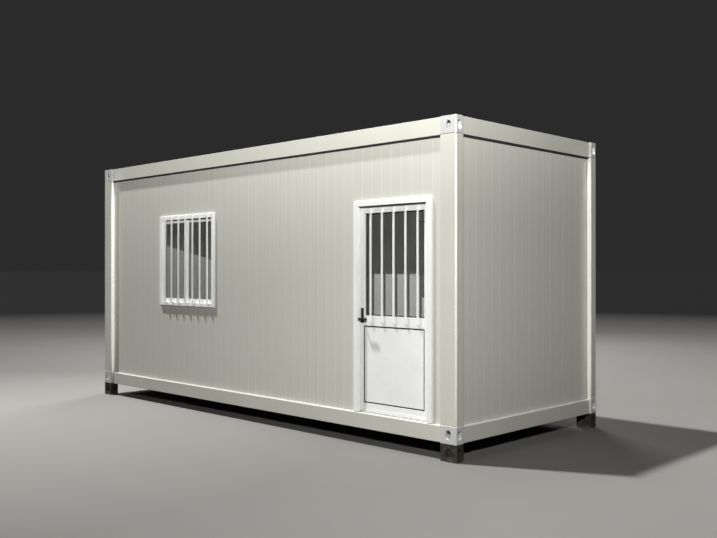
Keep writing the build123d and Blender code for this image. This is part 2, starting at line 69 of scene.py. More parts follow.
# Lights
head_light_place = (7.35, -6.96, 3.78)
head_light_turn = (24.6, 1.8)
head_light_power = 2470.0
head_light_cone = 116.4
wash_light_turn = (52.8, 49.5)
wash_light_power = 13270.0
wash_light_cone = 129.0
head_light_size = 0.02
key_place = (0.0, 0.0, 8.0)
key_direction = (0.40, 0.19, -0.90)
key_strength = 5.0
key_angle = 2.5
edge_light_cone = 17.0
edge_light_narrowing = 0.0374
edge_light_blend = 0.25
edge_light_size = 0.01
front_edge_place = (2.50, -1.70, 6.50)
front_edge_aim = (-2.851, -1.193, 1.75)
front_edge_power = 3200.0
end_edge_place = (3.51, -4.23, 6.50)
end_edge_aim = (3.003, 1.117, 1.75)
end_edge_power = 1700.0
corner_edge_place = (4.795, -2.985, 6.50)
corner_edge_aim = (3.025, -1.215, 1.94)
corner_edge_power = 2800.0
corner_edge_cone = 15.0
corner_edge_narrowing = 0.0112
back_light_place = (-7.0, 9.0, 5.5)
back_light_power = 1160.0
back_light_size = 5.0
ambient_color = (0.026, 0.026, 0.027)
backdrop_color = (0.024, 0.024, 0.025)

# Finishes
wall_color = (0.600, 0.600, 0.534)
lining_color = (0.920, 0.920, 0.895)
# Painted highlight on the long walls' groove faces, as a share of the wall colour.
groove_highlight_share = 1.10
frame_color = (0.567, 0.568, 0.499)
casting_color = (0.520, 0.520, 0.504)
# Painted highlight: faces that look up at the two ends are lightened towards this colour.
painted_highlight_color = (0.900, 0.900, 0.860)
highlight_end_reach = 2.86
white_color = (0.860, 0.862, 0.836)
window_white_color = (0.955, 0.955, 0.935)
bar_color = (0.900, 0.900, 0.880)
base_color = (0.021, 0.018, 0.015)
base_dust_color = (0.075, 0.062, 0.045)
rubber_color = (0.011, 0.011, 0.011)
black_color = (0.012, 0.012, 0.013)
steel_color = (0.560, 0.565, 0.575)
zinc_color = (0.520, 0.530, 0.545)
aluminium_color = (0.450, 0.450, 0.446)
deck_color = (0.300, 0.285, 0.260)
ceiling_color = (0.780, 0.780, 0.770)
roof_color = (0.385, 0.388, 0.374)
sealant_color = (0.760, 0.760, 0.740)
window_glass_tint = (0.880, 0.888, 0.882)
door_glass_tint = (0.995, 1.000, 0.997)
glass_dust_color = (0.52, 0.53, 0.52)
grime_color = (0.330, 0.315, 0.270)
joint_color = (0.060, 0.060, 0.057)
stage_color = (0.176, 0.172, 0.162)
# Painted pool of light on the floor: colour at its middle; its place and reach follow below.
painted_light_pool_color = (0.345, 0.338, 0.322)
# Painted shade: the floor darkens to this colour far from the house.
painted_far_shade_color = (0.014, 0.014, 0.014)
stage_cast_share = 0.35
# Middle and reach of the painted pool of light on the floor.
painted_light_pool_place = (-2.5, -4.0, 0.0)
painted_light_pool_radius = 5.0
stage_near_radius = 5.0
stage_far_radius = 26.0
stage_size = 900.0
stage_gap = 0.0005
view_range = 2000.0
bay_width = 1.1404
bay_depth = 1.3
bay_shift = 2.5

# Soft edges
rail_edge = 0.0018
post_edge = 0.0015
base_edge = 0.0020
door_edge = 0.0016
fine_edge = 0.0014
hinge_edge = 0.0006
edge_angle = 35.0
weld_distance = 1e-5

# Small fittings
sealant_leg = 0.006
gasket_leg = 0.004
gasket_height = 0.003
screw_radius = 0.0045
screw_height = 0.0028
bar_screw_inset = 0.022
roof_screw_radius = 0.007
roof_screw_height = 0.006
roof_washer_radius = 0.011
roof_washer_height = 0.002
roof_screw_edge = 0.045
roof_screw_sides = 6
crest_depth = 1e-4
drain_length = 0.034
drain_height = 0.010
drain_depth = 0.005
lock_radius = 0.0085
lock_height = 0.004
lock_drop = 0.052
plate_screw_inset = 0.011
latch_length = 0.070
latch_width = 0.018
latch_depth = 0.012
post_seal_width = 0.006
post_seal_height = 0.002
joint_seal_height = 0.0045
joint_seal_inset = 0.0015
sweep_height = 0.024
sweep_depth = 0.002
sweep_side = 0.004
sweep_gap = 0.0015
base_core_gap = 0.028
base_core_radius = 0.008
round_segments = 16


# Frame helpers
def solids(node):
    """Lowest and highest corner of each separate solid of a CAD node, ordered along X, then Y, then Z."""
    mesh = bmesh.new()
    mesh.from_mesh(nodes[node].data)
    bmesh.ops.remove_doubles(mesh, verts=mesh.verts, dist=1e-6)
    unseen = set(mesh.verts)
    boxes = []
    while unseen:
        stack = [unseen.pop()]
        points = []
        while stack:
            vertex = stack.pop()
            points.append(vertex.co.copy())
            for edge in vertex.link_edges:
                other = edge.other_vert(vertex)
                if other in unseen:
                    unseen.remove(other)
                    stack.append(other)
        low = Vector(min(p[axis] for p in points) for axis in range(3))
        high = Vector(max(p[axis] for p in points) for axis in range(3))
        boxes.append((low, high))
    mesh.free()
    return sorted(boxes, key=lambda box: tuple(round(value, 4) for value in box[0]))


def facing_front(place):
    """Matrix at a place whose Z axis points out of the front."""
    return Matrix.Translation(place) @ Matrix.Rotation(math.radians(90), 4, "X")


def facing_back(place):
    """Matrix at a place whose Z axis points to the back."""
    return Matrix.Translation(place) @ Matrix.Rotation(math.radians(-90), 4, "X")


# Mesh helpers
def lathe(mesh, profile, place, segments=round_segments):
    """Closed turned form from (radius, height) pairs; a radius of zero ends the profile in a point."""
    rings = []
    for radius, height in profile:
        if radius == 0:
            rings.append([mesh.verts.new(place @ Vector((0, 0, height)))])
            continue
        ring = []
        for step in range(segments):
            angle = 2 * math.pi * step / segments
            point = Vector((radius * math.cos(angle), radius * math.sin(angle), height))
            ring.append(mesh.verts.new(place @ point))
        rings.append(ring)
    for lower, upper in zip(rings, rings[1:]):
        for step in range(segments):
            following = (step + 1) % segments
            if len(upper) == 1:
                mesh.faces.new((lower[step], lower[following], upper[0]))
            elif len(lower) == 1:
                mesh.faces.new((lower[0], upper[following], upper[step]))
            else:
                mesh.faces.new((lower[step], lower[following], upper[following], upper[step]))
    return mesh


def prism(mesh, outline, height, place):
    """Closed prism from an outline in the place's XY plane."""
    lower = [mesh.verts.new(place @ Vector((x, y, 0))) for x, y in outline]
    upper = [mesh.verts.new(place @ Vector((x, y, height))) for x, y in outline]
    mesh.faces.new(list(reversed(lower)))
    mesh.faces.new(upper)
    for index in range(len(outline)):
        following = (index + 1) % len(outline)
        mesh.faces.new((lower[index], lower[following], upper[following], upper[index]))
    return mesh


def rounded_outline(width, height, radius, steps=4):
    """Outline of a rectangle with round corners, about its middle."""
    points = []
    corners = ((1, 1, 0), (-1, 1, 90), (-1, -1, 180), (1, -1, 270))
    for side_x, side_y, start in corners:
        for step in range(steps + 1):
            angle = math.radians(start + 90 * step / steps)
            points.append((side_x * (width / 2 - radius) + radius * math.cos(angle),
                           side_y * (height / 2 - radius) + radius * math.sin(angle)))
    return points


def ring_strip(mesh, low, high, face_y, outwards, profile):
    """Closed strip round an upright rectangle, from pairs of reach out of it and rise off the face."""
    corners = ((-1, -1), (1, -1), (1, 1), (-1, 1))
    loops = []
    for side_x, side_z in corners:
        corner_x = high.x if side_x > 0 else low.x
        corner_z = high.z if side_z > 0 else low.z
        loops.append([
            mesh.verts.new((corner_x + side_x * reach, face_y + outwards * rise, corner_z + side_z * reach))
            for reach, rise in profile
        ])
    for index, loop in enumerate(loops):
        following = loops[(index + 1) % len(loops)]
        for point in range(len(profile)):
            after = (point + 1) % len(profile)
            mesh.faces.new((loop[point], following[point], following[after], loop[after]))
    return mesh


def add_piece(name, mesh, material, body):
    """Turn a finished mesh into a piece that rides on a body and wears the finish it is given."""
    bmesh.ops.recalc_face_normals(mesh, faces=mesh.faces)
    data = bpy.data.meshes.new(name)
    mesh.to_mesh(data)
    mesh.free()
    data.materials.append(material)
    piece = bpy.data.objects.new(name, data)
    bpy.context.scene.collection.objects.link(piece)
    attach(piece, body)
    return piece


# Node helpers
def start_material(name):
    """New material with its shader and the object-space position that its textures follow."""
    material = bpy.data.materials.new(name)
    material.use_nodes = True
    tree = material.node_tree
    shader = tree.nodes["Principled BSDF"]
    place = tree.nodes.new("ShaderNodeTexCoord").outputs["Object"]
    return material, tree, shader, place


def noise(tree, place, scale, detail=3.0, stretch=(1.0, 1.0, 1.0)):
    """Noise over object space, packed tighter along an axis where stretch is above 1."""
    mapping = tree.nodes.new("ShaderNodeMapping")
    mapping.inputs["Scale"].default_value = stretch
    tree.links.new(place, mapping.inputs["Vector"])
    texture = tree.nodes.new("ShaderNodeTexNoise")
    texture.inputs["Scale"].default_value = scale
    texture.inputs["Detail"].default_value = detail
    tree.links.new(mapping.outputs["Vector"], texture.inputs["Vector"])
    return texture.outputs["Fac"]


def spread(tree, value, low, high, start=0.3, end=0.7):
    """A value between start and end, mapped to low and high."""
    node = tree.nodes.new("ShaderNodeMapRange")
    node.inputs["From Min"].default_value = start
    node.inputs["From Max"].default_value = end
    node.inputs["To Min"].default_value = low
    node.inputs["To Max"].default_value = high
    tree.links.new(value, node.inputs["Value"])
    return node.outputs["Result"]


def math_node(tree, operation, first, second):
    """Math on a socket and a socket or number."""
    node = tree.nodes.new("ShaderNodeMath")
    node.operation = operation
    for socket, value in zip(node.inputs, (first, second)):
        if isinstance(value, (int, float)):
            socket.default_value = value
        else:
            tree.links.new(value, socket)
    return node.outputs["Value"]


def mix_colors(tree, amount, first, second):
    """Colour from first to second by an amount; each is a colour or a socket."""
    node = tree.nodes.new("ShaderNodeMix")
    node.data_type = "RGBA"
    tree.links.new(amount, node.inputs["Factor"])
    for socket, value in ((node.inputs[6], first), (node.inputs[7], second)):
        if isinstance(value, tuple):
            socket.default_value = (*value, 1.0)
        else:
            tree.links.new(value, socket)
    return node.outputs[2]


def scaled(color, share):
    """A colour made lighter or darker by a share."""
    return tuple(min(1.0, channel * share) for channel in color)


def bump(tree, shader, height, strength, distance):
    """Surface relief from a height."""
    node = tree.nodes.new("ShaderNodeBump")
    node.inputs["Strength"].default_value = strength
    node.inputs["Distance"].default_value = distance
    tree.links.new(height, node.inputs["Height"])
    tree.links.new(node.outputs["Normal"], shader.inputs["Normal"])


def coordinates(tree, place):
    """X, Y and Z sockets of a position."""
    node = tree.nodes.new("ShaderNodeSeparateXYZ")
    tree.links.new(place, node.inputs["Vector"])
    return node.outputs


def lining_mask(tree, place):
    """One on the faces inside the walls' middle planes, zero outside them."""
    axes = coordinates(tree, place)
    along = math_node(tree, "ABSOLUTE", axes["X"], 0.0)
    across = math_node(tree, "ABSOLUTE", axes["Y"], 0.0)
    end_low, end_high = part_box("right_wall_panels")
    side_low, side_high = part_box("back_wall_panels")
    within_ends = math_node(tree, "LESS_THAN", along, (end_low.x + end_high.x) / 2)
    within_sides = math_node(tree, "LESS_THAN", across, (side_low.y + side_high.y) / 2)
    return math_node(tree, "MULTIPLY", within_ends, within_sides)


def groove_highlight_mask(tree, place):
    """One on the slanted faces of the long walls' grooves, where a painted highlight lightens them; zero on
    flat faces and on the end walls.
    """
    geometry = tree.nodes.new("ShaderNodeNewGeometry")
    axes = coordinates(tree, geometry.outputs["True Normal"])
    along = math_node(tree, "ABSOLUTE", axes["X"], 0.0)
    across = math_node(tree, "ABSOLUTE", axes["Y"], 0.0)
    slanted = math_node(tree, "GREATER_THAN", math_node(tree, "MINIMUM", along, across), 0.1)
    reach = math_node(tree, "ABSOLUTE", coordinates(tree, place)["X"], 0.0)
    on_long_wall = math_node(tree, "LESS_THAN", reach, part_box("right_wall_panels")[0].x)
    return math_node(tree, "MULTIPLY", slanted, on_long_wall)


def ledge_highlight_mask(tree, place):
    """From zero on upright faces to one on faces that look up at the two ends, where a painted highlight
    lightens the faces towards white.
    """
    geometry = tree.nodes.new("ShaderNodeNewGeometry")
    upwards = coordinates(tree, geometry.outputs["True Normal"])["Z"]
    reach = math_node(tree, "ABSOLUTE", coordinates(tree, place)["X"], 0.0)
    at_ends = math_node(tree, "GREATER_THAN", reach, highlight_end_reach)
    return math_node(tree, "MULTIPLY", spread(tree, upwards, 0.0, 1.0, 0.15, 0.55), at_ends)


# Finishes
def painted(name, color, roughness=(0.32, 0.42), tone_share=0.035, peel=0.10, streak=0.10, splash=0.0):
    """Satin paint: cloudy tone, faint rain streaks, splashed dust low down, a painted highlight on faces
    that look up at the two ends where splash is given, and a fine peel.
    """
    material, tree, shader, place = start_material(name)
    cloud = noise(tree, place, 1.7, 4.0)
    dark, light = scaled(color, 1 - tone_share), scaled(color, 1 + tone_share)
    tone = mix_colors(tree, spread(tree, cloud, 0.0, 1.0), dark, light)
    streaks = noise(tree, place, 6.0, 4.0, (4.0, 4.0, 0.12))
    worn = mix_colors(tree, spread(tree, streaks, 0.0, streak, 0.52, 0.75), tone, scaled(grime_color, 1.6))
    if splash:
        height = coordinates(tree, place)["Z"]
        low_down = spread(tree, height, splash, 0.0, 0.30, 1.0)
        patches = math_node(tree, "MULTIPLY", low_down, noise(tree, place, 9.0, 5.0))
        worn = mix_colors(tree, patches, worn, grime_color)
        # Painted highlight: faces that look up at the two ends are lightened towards white.
        worn = mix_colors(tree, ledge_highlight_mask(tree, place), worn, painted_highlight_color)
    tree.links.new(worn, shader.inputs["Base Color"])
    tree.links.new(spread(tree, noise(tree, place, 11.0, 4.0), *roughness), shader.inputs["Roughness"])
    bump(tree, shader, noise(tree, place, 420.0, 2.0), peel, 0.0006)
    return material


def wall_panel_finish():
    """Coated steel: panels differ a little in tone, with faint upright roll lines and a painted highlight
    on the slanted faces of the long walls' grooves.
    """
    material, tree, shader, place = start_material("wall_panel_finish")
    cells = tree.nodes.new("ShaderNodeMapping")
    cells.inputs["Scale"].default_value = (1 / bay_width, 1 / bay_depth, 0.0)
    cells.inputs["Location"].default_value = (bay_shift, 0.0, 0.0)
    tree.links.new(place, cells.inputs["Vector"])
    floor = tree.nodes.new("ShaderNodeVectorMath")
    floor.operation = "FLOOR"
    tree.links.new(cells.outputs["Vector"], floor.inputs[0])
    panel_tone = tree.nodes.new("ShaderNodeTexWhiteNoise")
    tree.links.new(floor.outputs["Vector"], panel_tone.inputs["Vector"])
    dark, light = scaled(wall_color, 0.985), scaled(wall_color, 1.015)
    tone = mix_colors(tree, panel_tone.outputs["Value"], dark, light)
    rolls = noise(tree, place, 7.0, 3.0, (6.0, 6.0, 0.02))
    rolled = mix_colors(tree, spread(tree, rolls, 0.0, 0.10), tone, scaled(wall_color, 0.86))
    streaks = noise(tree, place, 2.6, 5.0, (6.0, 6.0, 0.10))
    worn = mix_colors(tree, spread(tree, streaks, 0.0, 0.07, 0.54, 0.78), rolled, grime_color)
    height = coordinates(tree, place)["Z"]
    low_down = spread(tree, height, 0.16, 0.0, 0.31, 0.85)
    splashed = math_node(tree, "MULTIPLY", low_down, noise(tree, place, 8.0, 6.0))
    dirty = mix_colors(tree, splashed, worn, grime_color)
    # Painted highlight: the slanted groove faces on the long walls are lightened.
    groove_highlighted = mix_colors(tree, groove_highlight_mask(tree, place), dirty, scaled(wall_color, groove_highlight_share))
    lined = mix_colors(tree, lining_mask(tree, place), groove_highlighted, lining_color)
    tree.links.new(lined, shader.inputs["Base Color"])
    tree.links.new(spread(tree, noise(tree, place, 14.0, 4.0), 0.38, 0.48), shader.inputs["Roughness"])
    bump(tree, shader, noise(tree, place, 500.0, 2.0), 0.08, 0.0005)
    return material


def cast_finish():
    """White paint on cast steel: pitted grain under the paint with dark grime in the pits, and a painted
    highlight on faces that look up, such as the lower lips of the apertures.
    """
    material, tree, shader, place = start_material("cast_finish")
    grain = noise(tree, place, 190.0, 5.0)
    cloud = noise(tree, place, 14.0, 4.0)
    dark, light = scaled(casting_color, 0.95), scaled(casting_color, 1.04)
    tone = mix_colors(tree, spread(tree, cloud, 0.0, 1.0), dark, light)
    pits = spread(tree, grain, 0.22, 0.0, 0.30, 0.44)
    pitted = mix_colors(tree, pits, tone, grime_color)
    # Painted highlight: faces that look up, such as the apertures' lower lips, are lightened towards white.
    highlighted = mix_colors(tree, ledge_highlight_mask(tree, place), pitted, painted_highlight_color)
    tree.links.new(highlighted, shader.inputs["Base Color"])
    tree.links.new(spread(tree, cloud, 0.34, 0.50), shader.inputs["Roughness"])
    bump(tree, shader, grain, 0.22, 0.0008)
    return material


def base_finish():
    """Dark painted steel with brown dust and dry splashes."""
    material, tree, shader, place = start_material("base_finish")
    patches = noise(tree, place, 22.0, 6.0)
    dusty = mix_colors(tree, spread(tree, patches, 0.0, 0.75, 0.46, 0.72), base_color, base_dust_color)
    height = coordinates(tree, place)["Z"]
    low_down = math_node(tree, "MULTIPLY", spread(tree, height, 0.7, 0.0, 0.0, 0.06), patches)
    splashed = mix_colors(tree, low_down, dusty, scaled(base_dust_color, 1.6))
    tree.links.new(splashed, shader.inputs["Base Color"])
    tree.links.new(spread(tree, patches, 0.45, 0.75), shader.inputs["Roughness"])
    bump(tree, shader, noise(tree, place, 160.0, 4.0), 0.25, 0.0010)
    return material


def rubber_finish():
    """Black seal with a dull bloom."""
    material, tree, shader, place = start_material("rubber_finish")
    bloom = noise(tree, place, 30.0, 4.0)
    color = mix_colors(tree, spread(tree, bloom, 0.0, 1.0), rubber_color, scaled(rubber_color, 2.2))
    tree.links.new(color, shader.inputs["Base Color"])
    tree.links.new(spread(tree, bloom, 0.58, 0.78), shader.inputs["Roughness"])
    bump(tree, shader, noise(tree, place, 700.0, 2.0), 0.15, 0.0004)
    return material


def profile_finish(name, color):
    """White powder coat on window and door profiles: fine pebble, slight handling marks."""
    material, tree, shader, place = start_material(name)
    cloud = noise(tree, place, 5.0, 4.0)
    tone = mix_colors(tree, spread(tree, cloud, 0.0, 1.0), scaled(color, 0.965), scaled(color, 1.02))
    marks = noise(tree, place, 26.0, 6.0, (1.0, 1.0, 0.35))
    worn = mix_colors(tree, spread(tree, marks, 0.0, 0.05, 0.58, 0.80), tone, grime_color)
    tree.links.new(worn, shader.inputs["Base Color"])
    tree.links.new(spread(tree, marks, 0.26, 0.38), shader.inputs["Roughness"])
    bump(tree, shader, noise(tree, place, 850.0, 2.0), 0.10, 0.0003)
    return material


def brushed_finish(name, color, stretch, roughness):
    """Bare metal with brushing along one axis."""
    material, tree, shader, place = start_material(name)
    brushing = noise(tree, place, 60.0, 5.0, stretch)
    tone = mix_colors(tree, spread(tree, brushing, 0.0, 1.0), scaled(color, 0.86), scaled(color, 1.10))
    tree.links.new(tone, shader.inputs["Base Color"])
    shader.inputs["Metallic"].default_value = 1.0
    tree.links.new(spread(tree, brushing, *roughness), shader.inputs["Roughness"])
    bump(tree, shader, brushing, 0.08, 0.0004)
    return material


def galvanised_finish():
    """Zinc spangle: flat crystals that differ in tone and shine."""
    material, tree, shader, place = start_material("galvanised_finish")
    crystals = tree.nodes.new("ShaderNodeTexVoronoi")
    crystals.inputs["Scale"].default_value = 70.0
    tree.links.new(place, crystals.inputs["Vector"])
    grey = coordinates(tree, crystals.outputs["Color"])["X"]
    tone = mix_colors(tree, grey, scaled(zinc_color, 0.78), scaled(zinc_color, 1.12))
    tree.links.new(tone, shader.inputs["Base Color"])
    shader.inputs["Metallic"].default_value = 0.9
    tree.links.new(spread(tree, grey, 0.34, 0.56, 0.0, 1.0), shader.inputs["Roughness"])
    return material


def black_finish():
    """Satin black coat on the handle, polished a little by hands."""
    material, tree, shader, place = start_material("black_finish")
    wear = noise(tree, place, 40.0, 5.0)
    color = mix_colors(tree, spread(tree, wear, 0.0, 1.0), black_color, scaled(black_color, 2.4))
    tree.links.new(color, shader.inputs["Base Color"])
    tree.links.new(spread(tree, wear, 0.26, 0.44), shader.inputs["Roughness"])
    bump(tree, shader, noise(tree, place, 900.0, 2.0), 0.12, 0.0003)
    return material


def deck_finish():
    """Speckled grey sheet floor with scuffs."""
    material, tree, shader, place = start_material("deck_finish")
    specks = noise(tree, place, 260.0, 2.0)
    flecked = mix_colors(tree, spread(tree, specks, 0.0, 1.0, 0.38, 0.62), scaled(deck_color, 0.72),
                         scaled(deck_color, 1.28))
    scuffs = noise(tree, place, 5.0, 6.0)
    worn = mix_colors(tree, spread(tree, scuffs, 0.0, 0.35, 0.50, 0.75), flecked, scaled(deck_color, 1.5))
    tree.links.new(worn, shader.inputs["Base Color"])
    tree.links.new(spread(tree, scuffs, 0.42, 0.62), shader.inputs["Roughness"])
    bump(tree, shader, specks, 0.10, 0.0004)
    return material


def glass_finish(name, tint, film_share):
    """Float glass with a film of dust and mirror gloss that grows at a slant."""
    material, tree, shader, place = start_material(name)
    dust = noise(tree, place, 5.0, 6.0, (1.0, 1.0, 0.5))
    shader.inputs["Base Color"].default_value = (*glass_dust_color, 1.0)
    tree.links.new(spread(tree, dust, 0.03, 0.09), shader.inputs["Roughness"])
    shader.inputs["IOR"].default_value = 1.5
    clear = tree.nodes.new("ShaderNodeBsdfTransparent")
    clear.inputs["Color"].default_value = (*tint, 1.0)
    slant = tree.nodes.new("ShaderNodeLayerWeight").outputs["Facing"]
    mirror = spread(tree, math_node(tree, "POWER", slant, 5.0), 0.04, 1.0, 0.0, 1.0)
    film = spread(tree, dust, film_share * 0.5, film_share)
    share = math_node(tree, "ADD", mirror, film)
    mix = tree.nodes.new("ShaderNodeMixShader")
    tree.links.new(share, mix.inputs["Fac"])
    tree.links.new(clear.outputs["BSDF"], mix.inputs[1])
    tree.links.new(shader.outputs["BSDF"], mix.inputs[2])
    tree.links.new(mix.outputs["Shader"], tree.nodes["Material Output"].inputs["Surface"])
    return material


finishes = {
    "base_steel": base_finish(),
    "casting_steel": cast_finish(),
    "frame_steel": painted("frame_paint", frame_color, streak=0.06, splash=0.10),
    "joist_steel": galvanised_finish(),
    "floor_board": deck_finish(),
    "ceiling_board": painted("ceiling_paint", ceiling_color, streak=0.0),
    "roof_steel": painted("roof_paint", roof_color, roughness=(0.40, 0.60), tone_share=0.07, streak=0.30),
    "wall_panel": wall_panel_finish(),
    "seal_rubber": rubber_finish(),
    "window_white": profile_finish("window_profile", window_white_color),
    "window_glass": glass_finish("window_pane", window_glass_tint, 0.06),
    "bar_steel": painted("bar_paint", bar_color, roughness=(0.28, 0.40), streak=0.03),
    "door_white": profile_finish("door_profile", scaled(white_color, 1.02)),
    "threshold_metal": brushed_finish("threshold_metal", aluminium_color, (0.05, 3.0, 3.0), (0.45, 0.60)),
    "handle_black": black_finish(),
    "hinge_steel": brushed_finish("hinge_metal", steel_color, (2.0, 2.0, 0.08), (0.25, 0.42)),
}
sealant_finish = painted("sealant", sealant_color, roughness=(0.45, 0.6), streak=0.04)
joint_finish = painted("joint_seal", joint_color, roughness=(0.55, 0.70), streak=0.0)
screw_finish = brushed_finish("screw_metal", zinc_color, (1.0, 1.0, 1.0), (0.28, 0.48))

for part in frame["record"]["subparts"]:
    node = nodes[part["node"]]
    node.data.materials.clear()
    node.data.materials.append(finishes[part["material_slot"]])
nodes["door_glass"].data.materials[0] = glass_finish("door_pane", door_glass_tint, 0.02)


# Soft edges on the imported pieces
def soften(names, width, segments=2):
    """Round a piece's sharp edges for the light to catch, without a change to its mesh."""
    for name in names:
        weld = nodes[name].modifiers.new("weld", "WELD")
        weld.merge_threshold = weld_distance
        edge = nodes[name].modifiers.new("edge", "BEVEL")
        edge.width = width
        edge.segments = segments
        edge.limit_method = "ANGLE"
        edge.angle_limit = math.radians(edge_angle)
        normals = nodes[name].modifiers.new("normals", "WEIGHTED_NORMAL")
        normals.keep_sharp = True


sides = ("front", "back", "left", "right")
window_sides = ("front", "back")
soften([f"{side}_{level}_rail" for side in sides for level in ("bottom", "top")], rail_edge)
soften(["corner_posts", "bottom_corner_castings", "top_corner_castings"], post_edge)
soften(["base_blocks"], base_edge)
window_pieces = ("frame", "sashes", "grille")
soften([f"{side}_window_{piece}" for side in window_sides for piece in window_pieces], fine_edge)
soften(["door_jambs", "door_head", "door_leaf_frame", "door_grille", "door_lower_panel"], door_edge)
soften(["door_handle_plates", "door_lever"], fine_edge)
soften(["door_hinge_leaf_halves", "door_hinge_frame_halves", "door_threshold"], hinge_edge)


# Sealant round the frames, where they meet the wall's outer face
bead = [(0.0, 0.0), (sealant_leg, 0.0), (sealant_leg * 0.8, sealant_leg * 0.35),
        (sealant_leg * 0.35, sealant_leg * 0.8), (0.0, sealant_leg)]


def add_sealant(name, low, high, wall_node, outwards):
    """Bead of sealant round a frame."""
    wall_low, wall_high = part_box(wall_node)
    face_y = wall_low.y if outwards < 0 else wall_high.y
    mesh = ring_strip(bmesh.new(), low, high, face_y, outwards, bead)
    add_piece(name, mesh, sealant_finish, "cabin")


for side, outwards in (("front", -1), ("back", 1)):
    frame_low, frame_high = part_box(f"{side}_window_frame")
    add_sealant(f"{side}_window_sealant", frame_low, frame_high, f"{side}_window_panels", outwards)


# Seals where the wall panels meet the corner posts
def add_post_seals():
    """Upright strip beside each post, on the outer face of each wall."""
    mesh = bmesh.new()
    outline = [(-post_seal_width / 2, 0.0), (post_seal_width / 2, 0.0),
               (post_seal_width / 3, post_seal_height), (-post_seal_width / 3, post_seal_height)]
    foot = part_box("front_wall_panels")[0].z
    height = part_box("wall_top_seals")[0].z - foot
    front_low, front_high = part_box("front_wall_panels")[0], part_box("back_wall_panels")[1]
    end_low, end_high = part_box("left_wall_panels")[0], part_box("right_wall_panels")[1]
    for low, high in solids("corner_posts"):
        post_x = (low.x + high.x) / 2
        post_y = (low.y + high.y) / 2
        inner_x = low.x if post_x > 0 else high.x
        inner_y = low.y if post_y > 0 else high.y
        side_x = 1 if post_x > 0 else -1
        side_y = 1 if post_y > 0 else -1
        front_x = inner_x - side_x * post_seal_width / 2
        front_y = front_high.y if post_y > 0 else front_low.y
        turn = Matrix.Rotation(0.0 if side_y > 0 else math.pi, 4, "Z")
        prism(mesh, outline, height, Matrix.Translation((front_x, front_y, foot)) @ turn)
        end_x = end_high.x if post_x > 0 else end_low.x
        end_y = inner_y - side_y * post_seal_width / 2
        turn = Matrix.Rotation(-side_x * math.pi / 2, 4, "Z")
        prism(mesh, outline, height, Matrix.Translation((end_x, end_y, foot)) @ turn)
    add_piece("wall_post_seals", mesh, joint_finish, "cabin")


add_post_seals()


# Seals in the chamfered joint under each top casting
def add_joint_seals():
    """Flat ring in the groove between a top casting and its post."""
    mesh = bmesh.new()
    castings = solids("top_corner_castings")
    for low, high in castings:
        width = high.x - low.x - 2 * joint_seal_inset
        depth = high.y - low.y - 2 * joint_seal_inset
        place = Matrix.Translation(((low.x + high.x) / 2, (low.y + high.y) / 2, low.z))
        prism(mesh, rounded_outline(width, depth, joint_seal_height), joint_seal_height, place)
    add_piece("casting_joint_seals", mesh, joint_finish, "cabin")


add_joint_seals()


# Sweep on the door's foot
def add_door_sweep():
    """Thin strip across the leaf's outer face that hides the gap over the threshold."""
    leaf_low, leaf_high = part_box("door_leaf_frame")
    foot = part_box("door_threshold")[1].z + sweep_gap
    width = leaf_high.x - leaf_low.x - 2 * sweep_side
    place = facing_front(Vector(((leaf_low.x + leaf_high.x) / 2, leaf_low.y, foot + sweep_height / 2)))
    mesh = prism(bmesh.new(), rounded_outline(width, sweep_height, sweep_depth), sweep_depth, place)
    add_piece("door_sweep", mesh, finishes["door_white"], "door")


add_door_sweep()


# Cores inside the base blocks, seen through their apertures
def add_base_cores():
    """Round-edged packing block in the hollow of each base block."""
    mesh = bmesh.new()
    for low, high in solids("base_blocks"):
        width, depth, height = (size - 2 * base_core_gap for size in high - low)
        place = Matrix.Translation(((low.x + high.x) / 2, (low.y + high.y) / 2, low.z + base_core_gap))
        prism(mesh, rounded_outline(width, depth, base_core_radius), height, place)
    add_piece("base_block_cores", mesh, finishes["base_steel"], "cabin")


add_base_cores()


# Rubber round the panes, on both faces of the glass
gasket_profile = [(0.0, 0.0), (0.0, gasket_height),
                  (-gasket_leg * 0.6, gasket_height * 0.8), (-gasket_leg, 0.0)]


def add_pane_gaskets(name, glass_node, body):
    """Glazing rubber in front of and behind each pane of a node."""
    mesh = bmesh.new()
    for low, high in solids(glass_node):
        ring_strip(mesh, low, high, low.y, -1, gasket_profile)
        ring_strip(mesh, low, high, high.y, 1, gasket_profile)
    add_piece(name, mesh, finishes["seal_rubber"], body)


for side in window_sides:
    add_pane_gaskets(f"{side}_window_pane_gaskets", f"{side}_window_glass", "cabin")
add_pane_gaskets("door_pane_gaskets", "door_glass", "door")

# Screws
screw_profile = [(0.0, 0.0), (screw_radius, 0.0), (screw_radius * 0.97, screw_height * 0.45),
                 (screw_radius * 0.72, screw_height * 0.92), (screw_radius * 0.42, screw_height),
                 (screw_radius * 0.36, screw_height * 0.35), (0.0, screw_height * 0.30)]


def add_bar_screws(name, bar_node, outwards, body):
    """Two screws through each bar, near its ends."""
    mesh = bmesh.new()
    turn = facing_front if outwards < 0 else facing_back
    for low, high in solids(bar_node):
        middle_x = (low.x + high.x) / 2
        face_y = low.y if outwards < 0 else high.y
        for height in (low.z + bar_screw_inset, high.z - bar_screw_inset):
            lathe(mesh, screw_profile, turn(Vector((middle_x, face_y, height))))
    add_piece(name, mesh, finishes["bar_steel"], body)


add_bar_screws("front_window_bar_screws", "front_window_grille", -1, "cabin")
add_bar_screws("back_window_bar_screws", "back_window_grille", 1, "cabin")
add_bar_screws("door_bar_screws", "door_grille", -1, "door")


